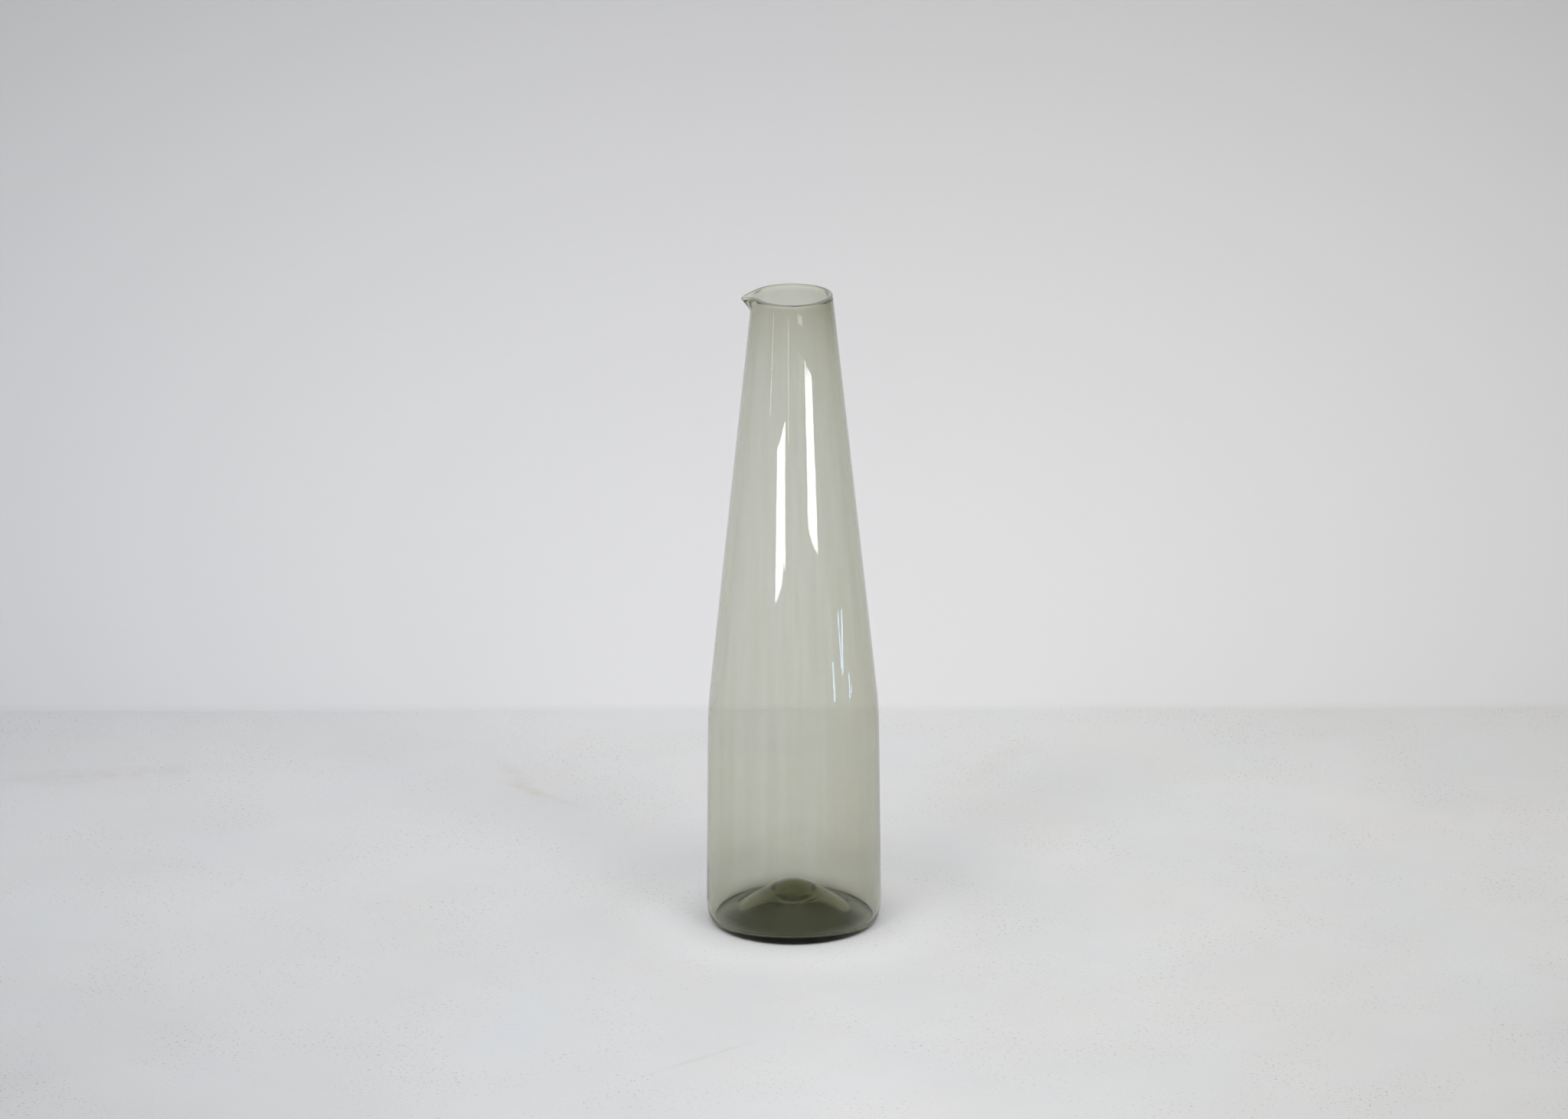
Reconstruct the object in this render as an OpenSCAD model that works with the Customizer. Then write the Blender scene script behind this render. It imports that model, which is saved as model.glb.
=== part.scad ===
// Water carafe blown from one gather of smoke-grey glass: a nearly straight body, a long
// tapering neck, a soft heel, a kicked-up floor with a pontil mark, and a small pulled lip.
// Millimetres, +Z up, origin at the centre of the ring that it stands on, lip towards -X.

/* [Body] */
// Height of the rim's crest above the surface that the carafe stands on
overall_h = 289; // [240:1:360]
// Widest outer diameter of the body, at the top of the heel
body_d = 78.2; // [72:0.2:96]
// Outer diameter where the line of the body crosses the line of the neck
shoulder_d = 76.2; // [66:0.2:90]
// Height of that crossing
shoulder_h = 99; // [60:1:150]
// Depth that the rounded shoulder stays inside the crossing
shoulder_soft = 0.25; // [0.1:0.05:2]
// Thickness of the wall through the body and most of the neck
wall_t = 1.2; // [1:0.05:2.2]
// Thickness of the wall just above the inner corner at the floor
low_wall_t = 1.4; // [1.2:0.1:3]
// Height over which that thicker wall thins out upwards
low_fade = 8; // [5:1:30]

/* [Mouth] */
// Outer diameter of the neck's line at the height of the rim's crest
mouth_d = 35.2; // [30:0.2:60]
// Thickness of the wall at the rim
rim_t = 2.1; // [1.4:0.1:3.2]
// Height over which the rim's thicker wall thins out downwards
rim_fade = 20; // [8:1:40]
// Height of the rounded, fire-polished edge of the rim
rim_round = 0.8; // [0.4:0.1:1.6]

/* [Pouring lip] */
// Distance that the tip of the lip stands out from the rim's circle
lip_reach = 4.7; // [2:0.1:8]
// Distance that the rim drops at the tip of the lip
lip_dip = 1.7; // [0:0.1:4]
// Height of the lip's underside, from its crease on the neck up to the rim at the tip
lip_h = 5.3; // [3:0.1:12]
// Half the angle of the rim that the lip is pulled from
lip_half_angle = 36; // [20:1:50]
// Angle of the rim over which the tip of the lip is rounded off
lip_tip_angle = 5; // [2:1:10]

/* [Heel and foot] */
// Width of the heel's outer curve, measured inwards from the body
heel_w = 2.7; // [1.5:0.1:6]
// Height of the heel's outer curve
heel_h = 9.5; // [5:0.5:20]
// Width of the flat ring that the carafe stands on
foot_w = 1.8; // [1:0.1:4]
// Width of the inner curve between the wall and the floor
corner_w = 2.8; // [2:0.1:6]
// Height of the inner curve between the wall and the floor
corner_h = 6; // [1:0.1:8]

/* [Kicked-up floor] */
// Thickness of the glass in the trough around the kick
floor_t = 2.6; // [1.8:0.1:6]
// Width of the trough between the kick and the inner curve
trough_w = 1.2; // [0.6:0.1:6]
// Rise of the kick's tip above the trough
kick_rise = 14.3; // [12:0.1:24]
// Rise of the hollow under the kick, short of the pontil mark
hollow_rise = 11; // [4:0.1:12.5]
// Diameter of the pontil mark at the top of that hollow
pontil_d = 13.6; // [6:0.2:20]
// Depth of the ground pontil mark
pontil_depth = 0.5; // [0.2:0.1:1]
// Width of the low bead of glass around the pontil mark
bead_w = 4; // [2:0.1:6]
// Height of that bead
bead_h = 0.4; // [0.2:0.1:0.8]

/* [Hidden] */

smoke_glass = [0.62, 0.63, 0.56];

body_r = body_d / 2;
shoulder_r = shoulder_d / 2;
mouth_r = mouth_d / 2;
foot_outer_r = body_r - heel_w;
foot_inner_r = foot_outer_r - foot_w;
inner_r = body_r - low_wall_t;
trough_outer_r = inner_r - corner_w;
kick_r = trough_outer_r - trough_w;
pontil_r = pontil_d / 2;
corner_top = floor_t + corner_h;

// The lip zone is the top of the neck, from just under the lip's crease to the rim
crease_z = overall_h - rim_round - lip_dip - lip_h;
zone_z = crease_z - rim_t;
// Depth that the mouth's section starts inside the neck's wall, and hairline inset from its faces
seat_depth = 0.4;
seat_inset = 0.04;

// Sharpness of the lip's crease, and of the fall of the hollow towards the foot
crease_power = 1.15;
hollow_power = 2.8;

// Counts of steps along each curve, and around the whole
heel_steps = 12;
wall_steps = 44;
corner_steps = 12;
kick_steps = 22;
hollow_steps = 18;
pontil_steps = 6;
bead_steps = 8;
level_steps = 7;
rim_steps = 6;
lip_turn_steps = 40;
rest_turn_steps = 56;
round_sides = 160;

// Outer radius at a height above the heel: two straight lines with a rounded crossing
function body_line(z) =
    body_r + (shoulder_r - body_r) * (z - heel_h) / (shoulder_h - heel_h);
function neck_line(z) =
    shoulder_r + (mouth_r - shoulder_r) * (z - shoulder_h) / (overall_h - shoulder_h);
function soft_min(a, b, soft) =
    (a + b - sqrt((a - b) * (a - b) + 4 * soft * soft)) / 2;
function outer_r(z) = soft_min(body_line(z), neck_line(z), shoulder_soft);

// Thickness of the wall at a height, which grows towards the rim and towards the floor
function wall_at(z) =
    wall_t + (rim_t - wall_t) * exp((z - overall_h) / rim_fade)
        + (low_wall_t - wall_t) * exp((corner_top - z) / low_fade);
function wall_r(z) = outer_r(z) - wall_at(z);

// Share of the wall's height at a step, with the steps closer together towards both ends
function rise_share(i) = (1 - cos(180 * i / wall_steps)) / 2;

// Height of the floor's upper face and of its underside at a radius
function floor_z(r) = floor_t + kick_rise * (1 + cos(180 * r / kick_r)) / 2;
function hollow_z(r) = hollow_rise * pow(max(0, cos(90 * r / foot_inner_r)), hollow_power);

// Outline of everything below the lip zone, from the foot up the outside and down the inside
heel_curve = [
    for (i = [0:heel_steps])
        let (a = 90 * i / heel_steps, top_r = outer_r(heel_h))
        [foot_outer_r + (top_r - foot_outer_r) * sin(a), heel_h * (1 - cos(a))]
];
outer_wall = [
    for (i = [1:wall_steps])
        let (z = heel_h + (zone_z - heel_h) * rise_share(i))
        [outer_r(z), z]
];
inner_wall = [
    for (i = [0:wall_steps - 1])
        let (z = zone_z + (corner_top - zone_z) * rise_share(i))
        [wall_r(z), z]
];
corner_curve = [
    for (i = [0:corner_steps])
        let (a = 90 * i / corner_steps, top_r = wall_r(corner_top))
        [trough_outer_r + (top_r - trough_outer_r) * cos(a), corner_top - corner_h * sin(a)]
];
kick_curve = [
    for (i = [0:kick_steps])
        let (r = kick_r * (1 - i / kick_steps))
        [r, floor_z(r)]
];
pontil_curve = [
    for (i = [0:pontil_steps])
        let (r = pontil_r * i / pontil_steps)
        [r, hollow_z(pontil_r) + pontil_depth * cos(90 * i / pontil_steps)]
];
bead_curve = [
    for (i = [1:bead_steps])
        let (r = pontil_r + bead_w * i / bead_steps)
        [r, hollow_z(r) - bead_h * sin(180 * i / bead_steps)]
];
hollow_curve = [
    for (i = [1:hollow_steps])
        let (r = pontil_r + bead_w + (foot_inner_r - pontil_r - bead_w) * i / hollow_steps)
        [r, hollow_z(r)]
];
vessel_outline = concat(
    heel_curve, outer_wall, inner_wall, corner_curve, kick_curve,
    pontil_curve, bead_curve, hollow_curve
);

// Angle around the mouth of a sector's edge, from the middle of the lip, with the lip's finer
function sector_angle(j) =
    j < lip_turn_steps
        ? lip_half_angle * (2 * j / lip_turn_steps - 1)
        : lip_half_angle + (360 - 2 * lip_half_angle) * (j - lip_turn_steps) / rest_turn_steps;

// Angle at which a straight flank from the lip's tip touches the circle of the rim
flank_angle = acos(mouth_r / (mouth_r + lip_reach));
function rounded_off(angle) = sqrt(angle * angle + lip_tip_angle * lip_tip_angle) - lip_tip_angle;
function flank_turn(angle) =
    flank_angle * rounded_off(flank_angle * angle / lip_half_angle) / rounded_off(flank_angle);

// Share of the pull that reaches an angle, and share that reaches a height
function fan_share(angle) =
    abs(angle) < lip_half_angle
        ? mouth_r * (1 / cos(flank_angle - flank_turn(angle)) - 1) / lip_reach
        : 0;
function rim_base_z(angle) = overall_h - rim_round - lip_dip * fan_share(angle);
function pull_share(angle, z) =
    fan_share(angle) * pow(max(0, z - crease_z) / (rim_base_z(angle) - crease_z), crease_power);
function pulled(angle, z) = lip_reach * pull_share(angle, z);

// Section of the mouth at one angle: up the outside, over the rounded rim, down the inside
function level_z(angle, i) =
    i == 0 ? zone_z - seat_depth : crease_z + (rim_base_z(angle) - crease_z) * (i - 1) / (level_steps - 1);
function inset_at(i) = i == 0 ? seat_inset : 0;
function mouth_section(angle) =
    let (
        top_z = rim_base_z(angle),
        half_t = wall_at(top_z) / 2,
        middle_r = wall_r(top_z) + half_t + pulled(angle, top_z)
    )
    concat(
        [for (i = [0:level_steps - 1])
            let (z = level_z(angle, i)) [outer_r(z) + pulled(angle, z) - inset_at(i), z]],
        [for (i = [1:rim_steps - 1])
            let (a = 180 * i / rim_steps)
            [middle_r + half_t * cos(a), top_z + rim_round * sin(a)]],
        [for (i = [level_steps - 1:-1:0])
            let (z = level_z(angle, i)) [wall_r(z) + pulled(angle, z) + inset_at(i), z]]
    );

sectors = lip_turn_steps + rest_turn_steps;
section_points = 2 * level_steps + rim_steps - 1;
mouth_points = [
    for (j = [0:sectors - 1])
        let (angle = sector_angle(j))
        for (p = mouth_section(angle))
            [-p[0] * cos(angle), -p[0] * sin(angle), p[1]]
];
mouth_faces = [
    for (j = [0:sectors - 1])
        for (k = [0:section_points - 1])
            let (
                here = j * section_points,
                next = (j + 1) % sectors * section_points,
                up = (k + 1) % section_points
            )
            for (face = [[here + k, here + up, next + k], [next + k, here + up, next + up]])
                face
];

// The vessel below the lip zone is turned; the mouth above it is one swept ring
module glass_body() {
    color(smoke_glass) {
        rotate_extrude($fn = round_sides) polygon(vessel_outline);
        polyhedron(points = mouth_points, faces = mouth_faces, convexity = 4);
    }
}

glass_body();
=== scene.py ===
import math
import bpy
from mathutils import Matrix, Vector


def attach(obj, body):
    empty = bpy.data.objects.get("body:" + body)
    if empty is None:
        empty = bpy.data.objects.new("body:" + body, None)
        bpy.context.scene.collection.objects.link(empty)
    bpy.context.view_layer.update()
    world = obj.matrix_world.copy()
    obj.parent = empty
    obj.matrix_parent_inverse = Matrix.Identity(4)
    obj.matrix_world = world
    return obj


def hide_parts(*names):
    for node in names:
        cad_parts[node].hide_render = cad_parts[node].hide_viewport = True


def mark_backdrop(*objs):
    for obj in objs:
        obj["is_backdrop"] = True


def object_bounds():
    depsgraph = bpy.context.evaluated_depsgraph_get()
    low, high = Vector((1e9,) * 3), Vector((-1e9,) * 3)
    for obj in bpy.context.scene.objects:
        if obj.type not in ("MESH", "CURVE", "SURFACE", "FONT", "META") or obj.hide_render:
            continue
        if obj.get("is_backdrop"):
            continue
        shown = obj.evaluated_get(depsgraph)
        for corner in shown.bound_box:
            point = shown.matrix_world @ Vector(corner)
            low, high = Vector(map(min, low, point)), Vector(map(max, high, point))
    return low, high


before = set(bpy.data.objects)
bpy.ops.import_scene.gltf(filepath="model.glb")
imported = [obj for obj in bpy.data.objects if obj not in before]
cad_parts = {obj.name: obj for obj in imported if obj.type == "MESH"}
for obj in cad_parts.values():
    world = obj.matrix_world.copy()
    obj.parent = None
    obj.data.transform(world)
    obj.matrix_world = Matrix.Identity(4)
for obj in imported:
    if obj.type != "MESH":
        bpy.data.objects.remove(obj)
cadLow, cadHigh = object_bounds()
print("frame loaded:", len(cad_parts), "part")

# Camera, at the height and distance that the picture's perspective asks for
cameraSettings = {
    "place": (0, -2.8624, 1.0430),
    "tiltDown": 17.007,     # degrees
    "turnLeft": 0.080,
    "roll": 0.17,
    "lens": 155.6,          # mm, on a 36 mm sensor
    "sensor": 36,
}


def addCamera(c):
    bpy.ops.object.camera_add(location=c["place"])
    camera = bpy.context.object
    camera.name = "carafe_camera"
    turn = Matrix.Rotation(math.radians(c["turnLeft"]), 4, "Z")
    tilt = Matrix.Rotation(math.radians(90 - c["tiltDown"]), 4, "X")
    roll = Matrix.Rotation(math.radians(-c["roll"]), 4, "Z")
    camera.matrix_world = Matrix.Translation(c["place"]) @ turn @ tilt @ roll
    camera.data.sensor_fit = "HORIZONTAL"
    camera.data.sensor_width = c["sensor"]
    camera.data.lens = c["lens"]
    camera.data.clip_end = 40
    bpy.context.scene.camera = camera


addCamera(cameraSettings)
print("camera placed")


# Small helpers for materials
def newMaterial(name):
    mat = bpy.data.materials.new(name)
    mat.use_nodes = True
    mat.node_tree.nodes.clear()
    return mat, mat.node_tree.nodes, mat.node_tree.links


def noise(nodes, links, place, scale, detail=2.0, rough=0.5):
    node = nodes.new("ShaderNodeTexNoise")
    node.inputs["Scale"].default_value = scale
    node.inputs["Detail"].default_value = detail
    node.inputs["Roughness"].default_value = rough
    links.new(place, node.inputs["Vector"])
    return node


def math2(nodes, links, what, a, b):
    node = nodes.new("ShaderNodeMath")
    node.operation = what
    for socket, value in zip(node.inputs, (a, b)):
        if isinstance(value, (int, float)):
            socket.default_value = value
        else:
            links.new(value, socket)
    return node.outputs["Value"]


def blend(nodes, links, factor, a, b, how="MIX"):
    node = nodes.new("ShaderNodeMix")
    node.data_type = "RGBA"
    node.blend_type = how
    for socket, value in (("Factor", factor), ("A", a), ("B", b)):
        if isinstance(value, (int, float, tuple)):
            node.inputs[socket].default_value = value
        else:
            links.new(value, node.inputs[socket])
    return node.outputs["Result"]


def spread(nodes, links, source, low, high, toLow, toHigh):
    node = nodes.new("ShaderNodeMapRange")
    node.inputs["From Min"].default_value = low
    node.inputs["From Max"].default_value = high
    node.inputs["To Min"].default_value = toLow
    node.inputs["To Max"].default_value = toHigh
    links.new(source, node.inputs["Value"])
    return node.outputs["Result"]


# Glass body
glassBody = {
    "height": cadHigh.z,
    "bodyR": cadHigh.y,
    "shoulderR": 0.0381,
    "shoulderZ": 0.099,
    "shoulderSoft": 0.00025,
    "mouthR": 0.0176,
    "wall": 0.00105,
    "lowWall": 0.0015,
    "lowFade": 0.060,
    "rimWall": 0.0023,
    "rimFade": 0.020,
    "rimRound": 0.0008,
    "rimBevel": 0.0008,
    "rimBevelH": 0.0025,
    "heelW": 0.0027,
    "heelH": 0.0095,
    "footW": 0.0018,
    "cornerW": 0.0027,
    "cornerH": 0.0056,
    "troughW": 0.0012,
    "floor": 0.0030,
    "kickRise": 0.0143,
    "hollowRise": 0.0122,
    "hollowPower": 2.8,
    "pontilR": 0.0068,
    "pontilDepth": 0.0005,
    "beadW": 0.004,
    "beadH": 0.0004,
    "lipReach": 0.0047,
    "lipDip": 0.0017,
    "lipH": 0.0053,
    "lipBack": 38,          # degrees of the rim that the lip takes behind and in front
    "lipFront": 28,
    "lipSoft": 4,
    "frontDip": 0.0010,     # how far the rim sags towards the front
    "frontDipDepth": 0.030,
    "uneven": 0.00018,      # how far the inside sits off centre, away from the thicker right wall
    "unevenRim": 0.00022,
    "sideSag": 0.0022,      # how much thinner the floor's rim is at both sides than in front
    "paintedGlowDepth": 0.0015,    # how far down from the top the painted glow of the polished edge reaches
    "paintedGlowBase": 0.3,        # how much of it in front, and more to both sides
    "paintedGlowSide": 3.0,
    "paintedGlowBack": 0.5,
    "paintedGlowFade": 0.8,        # share of it that the pulled lip loses
    "creasePower": 1.15,
    "sagFrom": 0.6,         # share of the kick's radius where the floor starts to thin
    "unevenFade": 0.02,     # height over which the inside goes off centre above the floor
    "roundPull": 0.5523,    # handle length that makes a quarter curve round
    "slopeStep": 0.0005,
    "merge": 0.000002,
    "touch": 0.00001,
    "kickSteps": 40,
    "cornerSteps": 20,
    "wallSteps": 90,
    "rimSteps": 12,
    "heelSteps": 24,
    "hollowSteps": 24,
    "beadSteps": 12,
    "pontilSteps": 10,
    "turnSteps": 180,
}


def outerR(g, z):
    bodyShare = (z - g["heelH"]) / (g["shoulderZ"] - g["heelH"])
    neckShare = (z - g["shoulderZ"]) / (g["height"] - g["shoulderZ"])
    body = g["bodyR"] + (g["shoulderR"] - g["bodyR"]) * bodyShare
    neck = g["shoulderR"] + (g["mouthR"] - g["shoulderR"]) * neckShare
    return (body + neck - math.sqrt((body - neck) ** 2 + 4 * g["shoulderSoft"] ** 2)) / 2


def wallAt(g, z):
    cornerTop = g["floor"] + g["cornerH"]
    bevel = max(0, 1 - (g["height"] - g["rimRound"] - z) / g["rimBevelH"]) ** 2
    return (g["wall"] + (g["rimWall"] - g["wall"]) * math.exp((z - g["height"]) / g["rimFade"])
            + (g["lowWall"] - g["wall"]) * math.exp((cornerTop - z) / g["lowFade"]) - g["rimBevel"] * bevel)


def innerR(g, z):
    return outerR(g, z) - wallAt(g, z)


def riseShare(i, steps):
    return (1 - math.cos(math.pi * i / steps)) / 2


def bodyOutline(g):
    top = g["height"] - g["rimRound"]
    cornerTop = g["floor"] + g["cornerH"]
    footOuter = g["bodyR"] - g["heelW"]
    footInner = footOuter - g["footW"]
    troughOuter = g["bodyR"] - g["lowWall"] - g["cornerW"]
    kickR = troughOuter - g["troughW"]
    points = []
    for i in range(g["kickSteps"] + 1):      # kicked-up floor, from its tip outwards
        r = kickR * i / g["kickSteps"]
        points.append((r, g["floor"] + g["kickRise"] * (1 + math.cos(math.pi * r / kickR)) / 2))
    lowR = innerR(g, cornerTop)
    slope = (innerR(g, cornerTop + g["slopeStep"]) - lowR) / g["slopeStep"]
    pull = g["roundPull"]
    p0, p1 = (troughOuter, g["floor"]), (troughOuter + pull * (lowR - troughOuter), g["floor"])
    p3 = (lowR, cornerTop)
    p2 = (lowR - slope * pull * g["cornerH"], cornerTop - pull * g["cornerH"])
    for i in range(1, g["cornerSteps"] + 1):     # inner corner
        t = i / g["cornerSteps"]
        a, b, c, d = (1 - t) ** 3, 3 * t * (1 - t) ** 2, 3 * t * t * (1 - t), t ** 3
        points.append(tuple(a * p0[k] + b * p1[k] + c * p2[k] + d * p3[k] for k in (0, 1)))
    for i in range(1, g["wallSteps"] + 1):   # inner wall
        z = cornerTop + (top - cornerTop) * riseShare(i, g["wallSteps"])
        points.append((innerR(g, z), z))
    half = wallAt(g, top) / 2
    for i in range(1, g["rimSteps"]):        # fire-polished rim
        a = math.pi * i / g["rimSteps"]
        points.append((innerR(g, top) + half - half * math.cos(a), top + g["rimRound"] * math.sin(a)))
    for i in range(g["wallSteps"] + 1):      # outer wall
        z = top + (g["heelH"] - top) * riseShare(i, g["wallSteps"])
        points.append((outerR(g, z), z))
    heelR = outerR(g, g["heelH"])
    for i in range(1, g["heelSteps"] + 1):   # heel
        a = math.pi / 2 * (1 - i / g["heelSteps"])
        points.append((footOuter + (heelR - footOuter) * math.sin(a), g["heelH"] * (1 - math.cos(a))))
    points.append(((footOuter + footInner) / 2, 0.0))

    def hollow(r):
        return g["hollowRise"] * max(0, math.cos(math.pi / 2 * r / footInner)) ** g["hollowPower"]

    edge = g["pontilR"] + g["beadW"]
    for i in range(g["hollowSteps"] + 1):    # hollow under the kick
        r = footInner + (edge - footInner) * i / g["hollowSteps"]
        points.append((r, hollow(r)))
    for i in range(1, g["beadSteps"] + 1):   # bead round the pontil mark
        r = edge - g["beadW"] * i / g["beadSteps"]
        points.append((r, hollow(r) - g["beadH"] * math.sin(math.pi * i / g["beadSteps"])))
    for i in range(1, g["pontilSteps"] + 1):     # pontil mark
        r = g["pontilR"] * (1 - i / g["pontilSteps"])
        points.append((r, hollow(g["pontilR"]) + g["pontilDepth"] * math.cos(math.pi / 2 * r / g["pontilR"])))
    return points


def lipShare(g, angle, spreadAngle):
    # straight flanks from the rim's circle to a rounded tip
    half = math.acos(g["mouthR"] / (g["mouthR"] + g["lipReach"]))
    soft = math.radians(g["lipSoft"])
    turn = abs(angle) * half / math.radians(spreadAngle)
    if turn >= half:
        return 0.0
    turn = (math.hypot(turn, soft) - soft) * half / (math.hypot(half, soft) - soft)
    return g["mouthR"] * (1 / math.cos(half - turn) - 1) / g["lipReach"]


def lipMove(g, place):
    angle = math.atan2(place.y, -place.x)
    share = lipShare(g, angle, g["lipBack"] if angle > 0 else g["lipFront"])
    top = g["height"] - g["rimRound"]
    crease = top - g["lipDip"] - g["lipH"]
    rise = min(1, max(0, (place.z - crease) / (top - crease)))
    side = Vector((place.x, place.y, 0)).normalized()
    front = max(0, -side.y) ** 2 * min(1, max(0, 1 - (top - place.z) / g["frontDipDepth"])) ** 2
    down = g["lipDip"] * share * rise + g["frontDip"] * front
    return side * g["lipReach"] * share * rise ** g["creasePower"] - Vector((0, 0, down))


def unevenMove(g, place):
    z = min(place.z, g["height"] - g["rimRound"])
    depth = (outerR(g, z) - math.hypot(place.x, place.y)) / wallAt(g, z)
    foot = min(1, max(0, (z - g["floor"] - g["cornerH"]) / g["unevenFade"]))
    shift = g["uneven"] + g["unevenRim"] * math.exp((z - g["height"]) / g["rimFade"])
    return Vector((-shift * foot * min(1, max(0, depth)), 0, -floorSag(g, place)))


def floorSag(g, place):
    r = math.hypot(place.x, place.y)
    troughOuter = g["bodyR"] - g["lowWall"] - g["cornerW"]
    kickR = troughOuter - g["troughW"]
    upper = g["floor"] + g["kickRise"] * (1 + math.cos(math.pi * min(1, r / kickR))) / 2
    cornerTop = g["floor"] + g["cornerH"]
    near = g["touch"]
    if r < g["sagFrom"] * kickR or r > innerR(g, cornerTop) + near:
        return 0.0
    if place.z < upper - near or place.z > cornerTop:
        return 0.0
    rise = (cornerTop - place.z) / g["cornerH"] if r > troughOuter else 1.0
    share = min(1, (r / kickR - g["sagFrom"]) / (1 - g["sagFrom"]))
    return g["sideSag"] * (place.x / r) ** 2 * rise * share * share * (3 - 2 * share)


def makeGlassBody(g):
    points = bodyOutline(g)
    bpy.ops.object.select_all(action="DESELECT")
    bpy.ops.mesh.primitive_plane_add(size=0.01)
    body = bpy.context.object
    body.name = "blown_glass_body"
    bpy.ops.object.mode_set(mode="EDIT")
    bpy.ops.mesh.merge(type="CENTER")
    bpy.ops.transform.translate(value=(points[0][0], 0, points[0][1]))
    for (r0, z0), (r1, z1) in zip(points, points[1:]):
        bpy.ops.mesh.extrude_vertices_move(TRANSFORM_OT_translate={"value": (r1 - r0, 0, z1 - z0)})
    bpy.ops.mesh.select_all(action="SELECT")
    bpy.ops.mesh.spin(steps=g["turnSteps"], angle=2 * math.pi, center=(0, 0, 0), axis=(0, 0, 1))
    bpy.ops.mesh.select_all(action="SELECT")
    bpy.ops.mesh.remove_doubles(threshold=g["merge"])
    bpy.ops.object.mode_set(mode="OBJECT")
    # painted glow: share of a pale emission on the rim's top, more at both sides and behind, less on the
    # pulled lip
    ring = body.data.attributes.new("rim_painted_glow", "FLOAT", "POINT")
    for vertex in body.data.vertices:
        side = Vector((vertex.co.x, vertex.co.y, 0)).normalized()
        share = 1 - min(1, (g["height"] - vertex.co.z) / g["paintedGlowDepth"])
        pull = lipMove(g, vertex.co)
        share *= 1 - g["paintedGlowFade"] * min(1, pull.xy.length / g["lipReach"])
        around = g["paintedGlowBase"] + g["paintedGlowSide"] * side.x ** 2 + g["paintedGlowBack"] * max(0, side.y)
        ring.data[vertex.index].value = share * min(1, around)
        vertex.co += pull + unevenMove(g, vertex.co)
    bpy.ops.object.mode_set(mode="EDIT")
    bpy.ops.mesh.select_all(action="SELECT")
    bpy.ops.mesh.normals_make_consistent(inside=False)
    bpy.ops.object.mode_set(mode="OBJECT")
    bpy.ops.object.shade_smooth()
    return body


# Reflection, the edge's painted glow and lines are fitted to the picture; smoke is taken up per metre by
# density times 1 - smoke
smokeSettings = {
    "ior": 1.5,
    "reflection": (0.35, 0.36, 0.29, 1),
    "smoke": (0.523, 0.533, 0.367, 1),
    "density": 300,
    # painted glow of the rim: its power, the dimmed glass colour, the emitted colour and its strength
    "paintedGlowPower": 0.5,
    "paintedEdgeDim": (0.12, 0.12, 0.10, 1),
    "paintedEdgeGlow": (0.95, 0.98, 0.84, 1),
    "paintedGlowStrength": 0.27,
    "lineStretch": (1, 1, 0.02),
    "lineNoise": (230.0, 2.0, 0.6),
    "lineSpread": (0.36, 0.62, 0, 1),
    "lineTint": (0.975, 0.975, 0.955, 1),
    "clear": (1, 1, 1, 1),
}


def smokeGlass(s):
    mat, nodes, links = newMaterial("smoke_glass")
    out = nodes.new("ShaderNodeOutputMaterial")
    glass = nodes.new("ShaderNodeBsdfPrincipled")
    glass.inputs["Base Color"].default_value = s["clear"]
    glass.inputs["Roughness"].default_value = 0.0
    glass.inputs["IOR"].default_value = s["ior"]
    glass.inputs["Transmission Weight"].default_value = 1.0
    glass.inputs["Specular Tint"].default_value = s["reflection"]
    ring = nodes.new("ShaderNodeAttribute")      # painted glow of the polished edge: the rim band's glass is dimmed and given a pale emission
    ring.attribute_name = "rim_painted_glow"
    edge = math2(nodes, links, "POWER", ring.outputs["Fac"], s["paintedGlowPower"])
    tint = blend(nodes, links, edge, s["clear"], s["paintedEdgeDim"])
    along = nodes.new("ShaderNodeVectorMath")     # faint lines that the pulling drew along the wall
    along.operation = "MULTIPLY"
    links.new(nodes.new("ShaderNodeTexCoord").outputs["Object"], along.inputs[0])
    along.inputs[1].default_value = s["lineStretch"]
    drawn = noise(nodes, links, along.outputs["Vector"], *s["lineNoise"])
    share = spread(nodes, links, drawn.outputs["Fac"], *s["lineSpread"])
    lines = blend(nodes, links, share, s["lineTint"], s["clear"])
    links.new(blend(nodes, links, 1.0, tint, lines, "MULTIPLY"), glass.inputs["Base Color"])
    # painted glow: the rim band emits a pale light
    links.new(math2(nodes, links, "MULTIPLY", edge, s["paintedGlowStrength"]), glass.inputs["Emission Strength"])
    glass.inputs["Emission Color"].default_value = s["paintedEdgeGlow"]
    smoke = nodes.new("ShaderNodeVolumeAbsorption")
    smoke.inputs["Color"].default_value = s["smoke"]
    smoke.inputs["Density"].default_value = s["density"]
    links.new(glass.outputs["BSDF"], out.inputs["Surface"])
    links.new(smoke.outputs["Volume"], out.inputs["Volume"])
    return mat


body = makeGlassBody(glassBody)
body.data.materials.clear()
body.data.materials.append(smokeGlass(smokeSettings))
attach(body, "root")
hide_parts("glass_body")
print("glass body blown:", len(body.data.vertices), "points")


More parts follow.
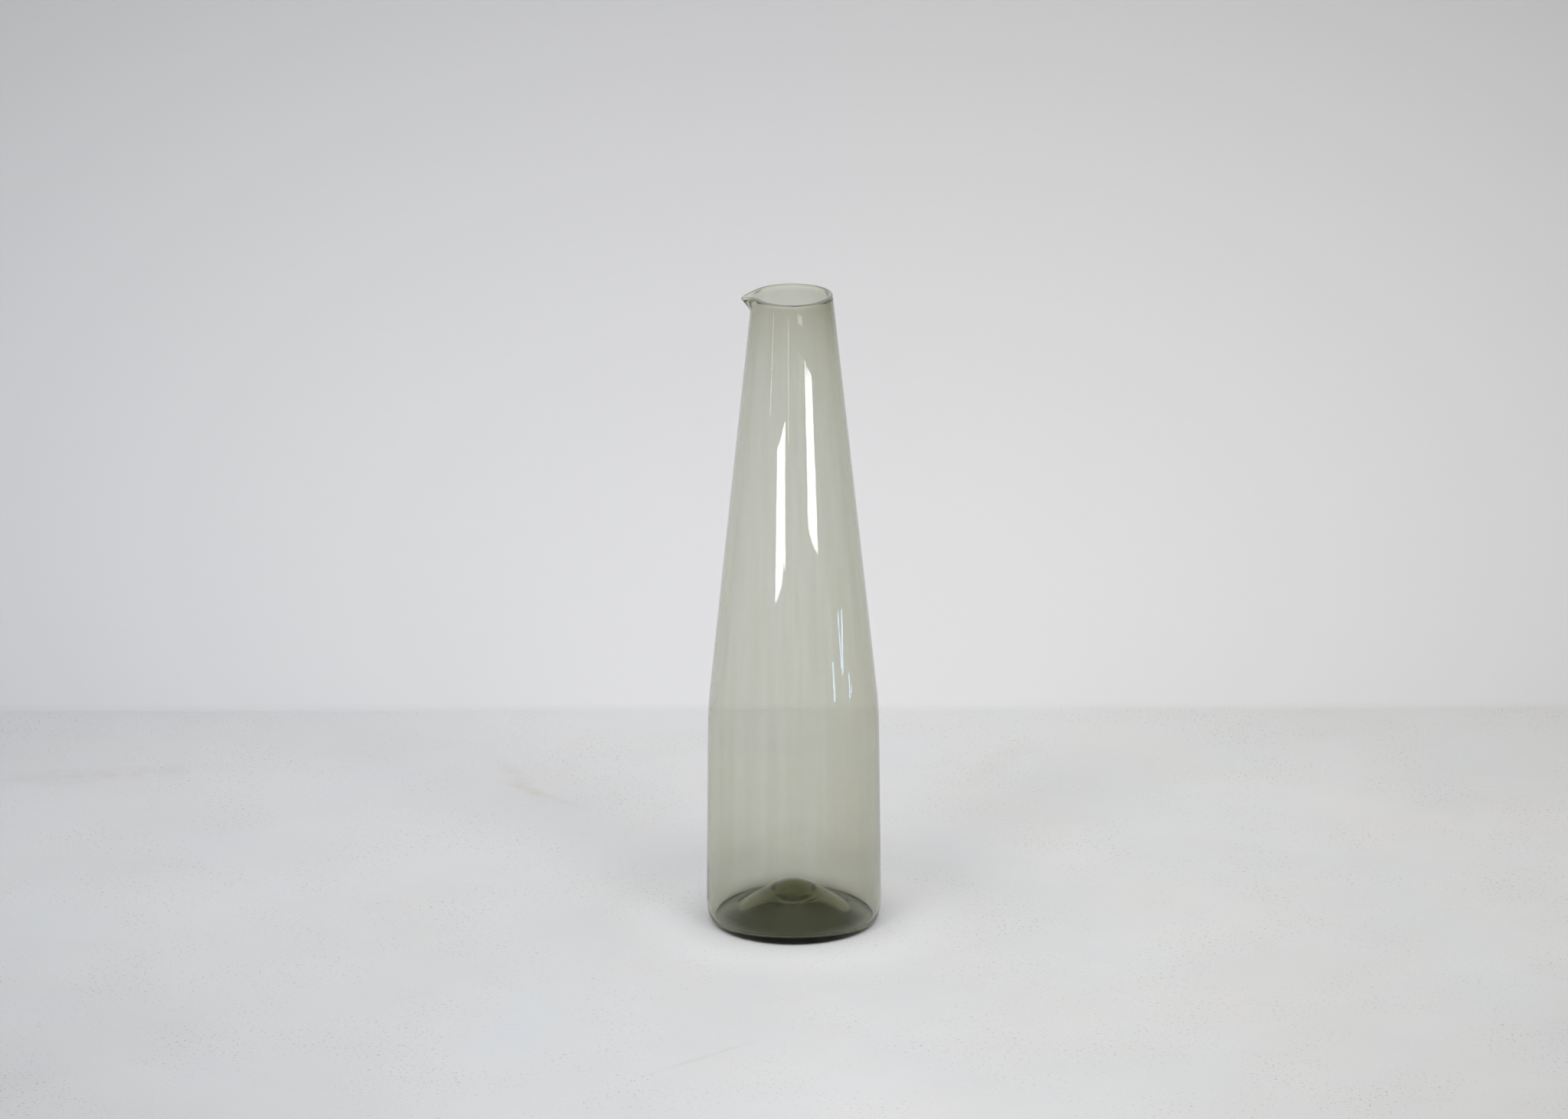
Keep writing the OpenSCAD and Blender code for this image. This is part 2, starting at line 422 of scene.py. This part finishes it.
# Floor and backdrop
stageSettings = {
    "floorSize": 8.0,
    "floorZ": -0.0002,
    "floorLeft": (0.772, 0.779, 0.794, 1),
    "floorRight": (0.794, 0.788, 0.774, 1),
    "wallY": 0.296,
    "wallSize": (5.0, 3.0),
    "wallLeft": (0.930, 0.930, 0.943, 1),
    "wallRight": (0.939, 0.928, 0.924, 1),
    "softCorner": 0.004,    # height of the painted shade where the wall meets the floor, and its brightness
    "paintedCornerShade": 0.955,
    "tintSpan": 0.35,       # metres either side of the middle
    # painted pool of light on the backdrop: its middle, size, fall and power
    "paintedPoolAt": (0.02, 0.05),
    "paintedPoolSize": (0.41, 0.245),
    "paintedPoolFall": 0.18,
    "paintedPoolPower": 1.6,
    "floorMiddle": 0.02,    # painted shade: the floor's colour dims to both sides of this line, and towards the backdrop
    "floorReach": 0.36,
    "paintedSideShade": 0.135,
    "paintedFarShade": 0.07,
    "farFrom": 0.12,
    "paintedHaloSize": 0.055,      # painted light: a pale ring close round the base, lightening the floor's colour where gathered light falls
    "paintedHaloSoft": 0.020,
    "paintedHaloGain": 0.10,
    "sideLimit": 1.2,       # shape of the floor's painted shade to the sides, and its growth towards the front
    "sidePower": 1.3,
    "frontEnd": -0.25,
    "frontGain": 1.8,
    "mottle": (9.0, 4.0, 0.6),          # noises: scale, detail and roughness, each with its spread
    "mottleSpread": (0.3, 0.7, 0.97, 1.02),
    "dots": (620.0, 1.0, 0.5),
    "dotsSpread": (0.64, 0.70, 0, 0.22),
    "patches": (16.0, 2.0, 0.6),
    "patchesSpread": (0.42, 0.62, 0.15, 1),
    "veilSpread": (0.35, 0.65, 0, 1),
    "veilCool": (0.982, 0.995, 1, 1),
    "veilWarm": (1, 0.992, 0.980, 1),
    "broken": (90.0, 3.0, 0.6),
    "brokenSpread": (0.38, 0.6, 0.25, 1),
    "markSpread": (0.2, 1.0, 1, 0),
    "grain": (260.0, 3.0, 0.6),
    "grainStrength": 0.15,
    "grainDepth": 0.0006,
    # the darkest that the backdrop's painted falloff goes
    "wallDimmest": 0.6,
    "marks": [              # middle, half length and half width, turn in degrees, colour multiplied in; a scratch, tone patches, and painted shadow at the tips of the carafe's shadows behind it
        ((-0.04, -0.175), (0.040, 0.002), 40, (0.940, 0.915, 0.880, 1)),
        # painted shadow: the warm V at the tip of the back-left shadow, in two strokes
        ((-0.13, 0.19), (0.040, 0.007), -70, (0.955, 0.930, 0.895, 1)),
        ((-0.12, 0.17), (0.040, 0.005), -45, (0.970, 0.950, 0.925, 1)),
        ((-0.33, 0.20), (0.075, 0.015), 10, (0.960, 0.935, 0.915, 1)),
        ((-0.12, -0.13), (0.020, 0.055), 0, (1.000, 1.012, 1.035, 1)),
        # painted shadow: the tip of the back-right shadow
        ((0.10, 0.22), (0.050, 0.012), 65, (0.975, 0.965, 0.945, 1)),
    ],
}


def sideTint(nodes, links, place, left, right, span):
    apart = nodes.new("ShaderNodeSeparateXYZ")
    links.new(place, apart.inputs["Vector"])
    share = spread(nodes, links, apart.outputs["X"], -span, span, 0, 1)
    return blend(nodes, links, share, left, right), apart


# a soft, broken patch multiplied into the floor colour, used for stains and for painted shadow alike
def mark(nodes, links, place, colour, broken, edge, middle, half, turn, stainAndShade):
    fit = nodes.new("ShaderNodeMapping")
    fit.vector_type = "TEXTURE"
    fit.inputs["Location"].default_value = (*middle, 0)
    fit.inputs["Rotation"].default_value = (0, 0, math.radians(turn))
    fit.inputs["Scale"].default_value = (*half, 1)
    links.new(place, fit.inputs["Vector"])
    reach = nodes.new("ShaderNodeVectorMath")
    reach.operation = "LENGTH"
    links.new(fit.outputs["Vector"], reach.inputs[0])
    inside = spread(nodes, links, reach.outputs["Value"], *edge)
    share = math2(nodes, links, "MULTIPLY", inside, broken)
    return blend(nodes, links, share, colour, blend(nodes, links, 1.0, colour, stainAndShade, "MULTIPLY"))


def floorMaterial(s):
    mat, nodes, links = newMaterial("pale_floor")
    out = nodes.new("ShaderNodeOutputMaterial")
    shader = nodes.new("ShaderNodeBsdfPrincipled")
    place = nodes.new("ShaderNodeTexCoord").outputs["Object"]
    tint, apart = sideTint(nodes, links, place, s["floorLeft"], s["floorRight"], s["tintSpan"])
    mottle = noise(nodes, links, place, *s["mottle"])
    cloud = spread(nodes, links, mottle.outputs["Fac"], *s["mottleSpread"])
    # painted shade: the floor colour darkens to both sides, more so in front, and towards the backdrop
    aside = math2(nodes, links, "SUBTRACT", apart.outputs["X"], s["floorMiddle"])
    aside = math2(nodes, links, "DIVIDE", math2(nodes, links, "ABSOLUTE", aside, 0), s["floorReach"])
    aside = math2(nodes, links, "MINIMUM", aside, s["sideLimit"])
    aside = math2(nodes, links, "POWER", aside, s["sidePower"])
    paintedFrontShade = s["frontGain"] * s["paintedSideShade"]
    front = spread(nodes, links, apart.outputs["Y"], 0.0, s["frontEnd"], s["paintedSideShade"], paintedFrontShade)
    dim = math2(nodes, links, "SUBTRACT", cloud, math2(nodes, links, "MULTIPLY", aside, front))
    far = spread(nodes, links, apart.outputs["Y"], s["farFrom"], s["wallY"], 0, s["paintedFarShade"])
    dim = math2(nodes, links, "SUBTRACT", dim, far)
    # painted light: a pale ring in the floor colour round the base
    reach = nodes.new("ShaderNodeVectorMath")
    reach.operation = "LENGTH"
    links.new(place, reach.inputs[0])
    ring = math2(nodes, links, "SUBTRACT", reach.outputs["Value"], s["paintedHaloSize"])
    ring = math2(nodes, links, "DIVIDE", ring, s["paintedHaloSoft"])
    ring = math2(nodes, links, "POWER", math2(nodes, links, "ABSOLUTE", ring, 0), 2.0)
    ring = math2(nodes, links, "EXPONENT", math2(nodes, links, "MULTIPLY", ring, -1.0), 0)
    dim = math2(nodes, links, "ADD", dim, math2(nodes, links, "MULTIPLY", ring, s["paintedHaloGain"]))
    dots = noise(nodes, links, place, *s["dots"])
    dots = spread(nodes, links, dots.outputs["Fac"], *s["dotsSpread"])
    patches = noise(nodes, links, place, *s["patches"])
    where = spread(nodes, links, patches.outputs["Fac"], *s["patchesSpread"])
    dim = math2(nodes, links, "SUBTRACT", dim, math2(nodes, links, "MULTIPLY", dots, where))
    veil = spread(nodes, links, patches.outputs["Color"], *s["veilSpread"])
    colour = blend(nodes, links, veil, s["veilCool"], s["veilWarm"])
    colour = blend(nodes, links, 1.0, blend(nodes, links, 1.0, tint, dim, "MULTIPLY"), colour, "MULTIPLY")
    broken = noise(nodes, links, place, *s["broken"])
    broken = spread(nodes, links, broken.outputs["Fac"], *s["brokenSpread"])
    for middle, half, turn, stainAndShade in s["marks"]:
        colour = mark(nodes, links, place, colour, broken, s["markSpread"], middle, half, turn, stainAndShade)
    links.new(colour, shader.inputs["Base Color"])
    shader.inputs["Roughness"].default_value = 1.0
    shader.inputs["Specular IOR Level"].default_value = 0.0
    grain = noise(nodes, links, place, *s["grain"])
    bump = nodes.new("ShaderNodeBump")
    bump.inputs["Strength"].default_value = s["grainStrength"]
    bump.inputs["Distance"].default_value = s["grainDepth"]
    links.new(grain.outputs["Fac"], bump.inputs["Height"])
    links.new(bump.outputs["Normal"], shader.inputs["Normal"])
    links.new(shader.outputs["BSDF"], out.inputs["Surface"])
    return mat


def wallMaterial(s):
    mat, nodes, links = newMaterial("pale_wall")
    out = nodes.new("ShaderNodeOutputMaterial")
    shader = nodes.new("ShaderNodeBsdfDiffuse")
    place = nodes.new("ShaderNodeTexCoord").outputs["Object"]
    tint, apart = sideTint(nodes, links, place, s["wallLeft"], s["wallRight"], s["tintSpan"])
    # painted pool of light: the backdrop colour is palest near its middle and dims away from it
    x = math2(nodes, links, "SUBTRACT", apart.outputs["X"], s["paintedPoolAt"][0])
    z = math2(nodes, links, "SUBTRACT", apart.outputs["Y"], s["paintedPoolAt"][1] - s["wallSize"][1] / 2)
    x = math2(nodes, links, "DIVIDE", x, s["paintedPoolSize"][0])
    z = math2(nodes, links, "DIVIDE", z, s["paintedPoolSize"][1])
    xx, zz = math2(nodes, links, "MULTIPLY", x, x), math2(nodes, links, "MULTIPLY", z, z)
    far = math2(nodes, links, "ADD", xx, zz)
    fall = math2(nodes, links, "POWER", far, s["paintedPoolPower"] / 2)
    glow = math2(nodes, links, "SUBTRACT", 1.0, math2(nodes, links, "MULTIPLY", fall, s["paintedPoolFall"]))
    glow = math2(nodes, links, "MAXIMUM", glow, s["wallDimmest"])
    # painted shade along the foot of the backdrop, where it meets the floor
    foot = -s["wallSize"][1] / 2
    low = spread(nodes, links, apart.outputs["Y"], foot, foot + s["softCorner"], s["paintedCornerShade"], 1)
    glow = math2(nodes, links, "MULTIPLY", glow, low)
    links.new(blend(nodes, links, 1.0, tint, glow, "MULTIPLY"), shader.inputs["Color"])
    clear = nodes.new("ShaderNodeBsdfTransparent")
    pick = nodes.new("ShaderNodeMixShader")
    side = nodes.new("ShaderNodeNewGeometry")
    links.new(side.outputs["Backfacing"], pick.inputs["Fac"])
    links.new(shader.outputs["BSDF"], pick.inputs[1])
    links.new(clear.outputs["BSDF"], pick.inputs[2])
    links.new(pick.outputs["Shader"], out.inputs["Surface"])
    return mat


def makeStage(s):
    bpy.ops.object.select_all(action="DESELECT")
    bpy.ops.mesh.primitive_plane_add(size=s["floorSize"], location=(0, 0, s["floorZ"]))
    floor = bpy.context.object
    floor.name = "floor"
    floor.data.materials.append(floorMaterial(s))
    bpy.ops.object.select_all(action="DESELECT")
    bpy.ops.mesh.primitive_plane_add(size=1, location=(0, s["wallY"], s["wallSize"][1] / 2 + s["floorZ"]),
                                     rotation=(math.pi / 2, 0, 0))
    wall = bpy.context.object
    wall.name = "backdrop"
    wall.scale = (s["wallSize"][0], s["wallSize"][1], 1)
    bpy.ops.object.transform_apply(location=False, rotation=False, scale=True)
    wall.data.materials.append(wallMaterial(s))
    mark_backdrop(floor, wall)


makeStage(stageSettings)
print("floor and backdrop laid")


# Light
lightSettings = {
    "worldColour": (0.97, 0.98, 1.0, 1),
    "worldStrength": 0.70,
    "ceilingPlace": (0, -0.5, 2.4),
    "ceilingSize": 2.0,
    "ceilingPower": 14.0,
    "lampDistance": 2.2,
    "lampElevation": 48,
    "lampSize": 0.6,
    "lampAzimuths": {"left_window": -34, "right_window": 36},
    "lampPower": 5.0,
    "aim": (0, 0, 0.1),
}

# Strip cards that only gloss meets, on planes that face the carafe. "high" and "low" are the middles of the
# top and bottom edges, sideways and up; "rise" is how much an edge climbs to the right, and "tear" is a notch
# in one edge: its place as a share from the left, its half width as a share, and its depth.
cardSettings = {
    "left_card": {
        "azimuth": -22,
        "distance": 1.5,
        "strength": 48.0,
        "colour": (0.80, 0.80, 1.0, 1),
        "high": (-0.04, 0.13),
        "low": (0.05, 0.03),
        "width": 0.41,
        "rise": 0.03,
        "tear": ("low", 0.80, 0.15, 0.012),
    },
    "right_card": {
        "azimuth": 37,
        "distance": 1.5,
        "strength": 48.0,
        "colour": (0.80, 0.80, 1.0, 1),
        "high": (0, 0.165),
        "low": (-0.07, 0.05),
        "width": 0.43,
        "rise": -0.03,
        "tear": ("high", 0.25, 0.15, 0.010),
    },
    "left_thread": {
        "azimuth": -52,
        "distance": 1.5,
        "strength": 16.0,
        "colour": (0.85, 0.9, 1, 1),
        "high": (0, 0.20),
        "low": (0.07, 0.12),
        "width": 0.06,
        "rise": 0,
        "tear": None,
    },
    "middle_thread": {
        "azimuth": -15,
        "distance": 1.5,
        "strength": 14.0,
        "colour": (0.9, 0.9, 1, 1),
        "high": (0.11, 0.23),
        "low": (0.16, 0.13),
        "width": 0.05,
        "rise": 0,
        "tear": None,
    },
    "high_pane": {
        "azimuth": 20,
        "distance": 1.5,
        "strength": 12.0,
        "colour": (0.9, 0.9, 1, 1),
        "high": (0, 0.23),
        "low": (0, 0.22),
        "width": 0.30,
        "rise": -0.01,
        "tear": None,
    },
    "warm_pane": {
        "azimuth": 20,
        "distance": 1.5,
        "strength": 4.0,
        "colour": (1, 0.8, 0.75, 1),
        "high": (0, 0.19),
        "low": (0, 0.15),
        "width": 0.30,
        "rise": -0.01,
        "tear": ("low", 0.5, 0.3, 0.015),
    },
}
# Thin cool cards, mirrored near the shoulder: middles of the top and bottom edges, and width
slatSettings = {
    "azimuth": 72,
    "distance": 0.6,
    "strength": 30.0,
    "colour": (0.42, 0.62, 1, 1),
    "slats": [
        ((-0.01, 0.075), (-0.01, 0.045), 0.02),
        ((0.07, 0.07), (0, 0.04), 0.03),
        ((-0.16, 0.055), (-0.16, 0.03), 0.03),
        ((0.12, 0.03), (0.10, 0.015), 0.02),
        ((0.15, 0.02), (0.13, 0.015), 0.02),
    ],
}
for count, (high, low, width) in enumerate(slatSettings["slats"], 1):
    place = {"high": high, "low": low, "width": width, "rise": 0, "tear": None}
    cardSettings["side_slat_%d" % count] = slatSettings | place


def tornEdge(card, edge, inwards):
    middle, half, climb = card[edge], card["width"] / 2, card["rise"] / 2
    stops = [(0, 0), (1, 0)]
    if card["tear"] and card["tear"][0] == edge:
        at, reach, depth = card["tear"][1:]
        stops[1:1] = [(at - reach, 0), (at, depth), (at + reach, 0)]
    return [(middle[0] + half * (2 * share - 1), middle[1] + climb * (2 * share - 1) + inwards * cut)
            for share, cut in stops]


def paneOutline(card):
    return tornEdge(card, "high", -1) + tornEdge(card, "low", 1)[::-1]


def addLight(s):
    world = bpy.data.worlds.new("pale_room")
    bpy.context.scene.world = world
    world.use_nodes = True
    back = world.node_tree.nodes["Background"]
    back.inputs["Color"].default_value = s["worldColour"]
    back.inputs["Strength"].default_value = s["worldStrength"]
    for name, azimuth in s["lampAzimuths"].items():
        a, e = math.radians(azimuth), math.radians(s["lampElevation"])
        away = Vector((math.sin(a) * math.cos(e), -math.cos(a) * math.cos(e), math.sin(e)))
        bpy.ops.object.light_add(type="AREA", location=Vector(s["aim"]) + away * s["lampDistance"])
        lamp = bpy.context.object
        lamp.name = name
        lamp.rotation_euler = away.to_track_quat("Z", "Y").to_euler()
        lamp.data.shape = "SQUARE"
        lamp.data.size = s["lampSize"]
        lamp.data.energy = s["lampPower"]
    bpy.ops.object.light_add(type="AREA", location=s["ceilingPlace"])
    ceiling = bpy.context.object
    ceiling.name = "ceiling_softbox"
    ceiling.data.size = s["ceilingSize"]
    ceiling.data.energy = s["ceilingPower"]
    ceiling.visible_glossy = False


def addCard(name, card):
    a = math.radians(card["azimuth"])
    side = Vector((math.cos(a), math.sin(a), 0))
    away = Vector((math.sin(a), -math.cos(a), 0)) * card["distance"]
    bpy.ops.object.select_all(action="DESELECT")
    outline = paneOutline(card)
    bpy.ops.mesh.primitive_circle_add(vertices=len(outline), radius=0.1, fill_type="NGON")
    sheet = bpy.context.object
    sheet.name = name
    for vertex, (across, up) in zip(sheet.data.vertices, outline):
        vertex.co = away + side * across + Vector((0, 0, up))
    mat, nodes, links = newMaterial(name)
    out = nodes.new("ShaderNodeOutputMaterial")
    shine = nodes.new("ShaderNodeEmission")
    shine.inputs["Color"].default_value = card["colour"]
    shine.inputs["Strength"].default_value = card["strength"]
    links.new(shine.outputs["Emission"], out.inputs["Surface"])
    sheet.data.materials.append(mat)
    sheet.visible_camera = sheet.visible_diffuse = sheet.visible_transmission = sheet.visible_shadow = False
    sheet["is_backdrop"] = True


addLight(lightSettings)
for name, card in cardSettings.items():
    addCard(name, card)
bpy.context.scene.view_settings.view_transform = "Standard"
print("lights set")

low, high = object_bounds()
